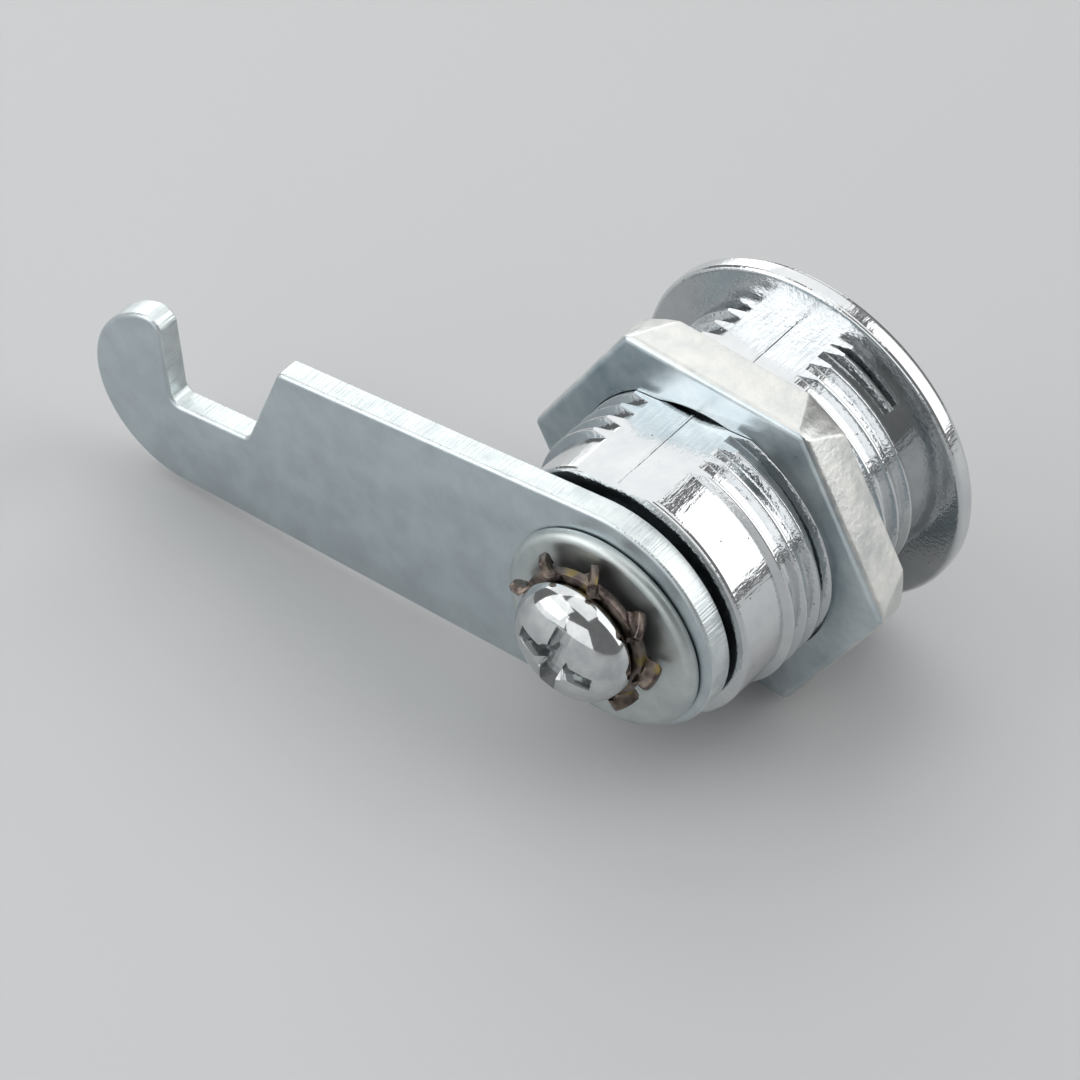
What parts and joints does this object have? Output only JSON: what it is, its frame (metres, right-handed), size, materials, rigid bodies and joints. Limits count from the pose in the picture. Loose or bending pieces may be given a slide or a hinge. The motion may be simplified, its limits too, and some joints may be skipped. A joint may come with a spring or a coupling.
{
  "type": "cam lock",
  "caption": "Threaded cylinder cam lock with a round flange, a hexagon panel nut and a hooked cam held on by a washer, a star washer and a pan-head screw.",
  "frame": {"origin": "on the lock's axis, in the plane of the flange's back face, where the panel's outer face lies", "axes": "+Y along the axis from the key face to the cam, +X along the cam at rest, +Z the way the cam's hook opens"},
  "size_m": [0.0514, 0.0253, 0.0234],
  "materials": {
    "housing_chrome": "bright chrome plate on die-cast zinc",
    "nut_zinc": "blue-white zinc plate",
    "plug_nickel": "bright nickel plate on die-cast zinc",
    "wafer_brass": "plain stamped brass",
    "spring_wire": "plain spring wire",
    "stop_washer_zinc": "zinc plate",
    "cam_zinc": "blue-white zinc plate, fine rolling marks",
    "washer_zinc": "satin zinc plate",
    "star_dark": "dark blued spring steel",
    "screw_nickel": "bright plate"
  },
  "bodies": {
    "housing": {"housing": "housing_chrome"},
    "nut": {"hex_nut": "nut_zinc"},
    "plug": {"plug": "plug_nickel", "stop_washer": "stop_washer_zinc", "cam": "cam_zinc", "cam_washer": "washer_zinc", "star_washer": "star_dark", "cam_screw": "screw_nickel", "wafer_spring_1": "spring_wire", "wafer_spring_2": "spring_wire", "wafer_spring_3": "spring_wire", "wafer_spring_4": "spring_wire", "wafer_spring_5": "spring_wire", "retaining_spring": "spring_wire"},
    "wafer_1": {"wafer_1": "wafer_brass"},
    "wafer_2": {"wafer_2": "wafer_brass"},
    "wafer_3": {"wafer_3": "wafer_brass"},
    "wafer_4": {"wafer_4": "wafer_brass"},
    "wafer_5": {"wafer_5": "wafer_brass"},
    "retaining_wafer": {"retaining_wafer": "wafer_brass"}
  },
  "joints": [
    {"name": "nut_travel", "type": "slide", "parent": "housing", "child": "nut", "axis": [0, 1, 0], "range_m": [-0.0058, 0.007]},
    {"name": "plug_turn", "type": "hinge", "parent": "housing", "child": "plug", "pos_m": [0, 0, 0], "axis": [0, -1, 0], "range_deg": [0, 90]},
    {"name": "wafer_1_slide", "type": "slide", "parent": "plug", "child": "wafer_1", "axis": [0, 0, 1], "range_m": [-0.0004, 0], "stiffness_N_per_m": 100, "springref_m": 0.002, "deforming": ["wafer_spring_1"]},
    {"name": "wafer_2_slide", "type": "slide", "parent": "plug", "child": "wafer_2", "axis": [0, 0, 1], "range_m": [-0.0004, 0], "stiffness_N_per_m": 100, "springref_m": 0.002, "deforming": ["wafer_spring_2"]},
    {"name": "wafer_3_slide", "type": "slide", "parent": "plug", "child": "wafer_3", "axis": [0, 0, 1], "range_m": [-0.0004, 0], "stiffness_N_per_m": 100, "springref_m": 0.002, "deforming": ["wafer_spring_3"]},
    {"name": "wafer_4_slide", "type": "slide", "parent": "plug", "child": "wafer_4", "axis": [0, 0, 1], "range_m": [-0.0004, 0], "stiffness_N_per_m": 100, "springref_m": 0.002, "deforming": ["wafer_spring_4"]},
    {"name": "wafer_5_slide", "type": "slide", "parent": "plug", "child": "wafer_5", "axis": [0, 0, 1], "range_m": [-0.0004, 0], "stiffness_N_per_m": 100, "springref_m": 0.002, "deforming": ["wafer_spring_5"]},
    {"name": "retaining_wafer_slide", "type": "slide", "parent": "plug", "child": "retaining_wafer", "axis": [0, 0, 1], "range_m": [0, 0.0009], "stiffness_N_per_m": 100, "springref_m": -0.002, "deforming": ["retaining_spring"]}
  ]
}
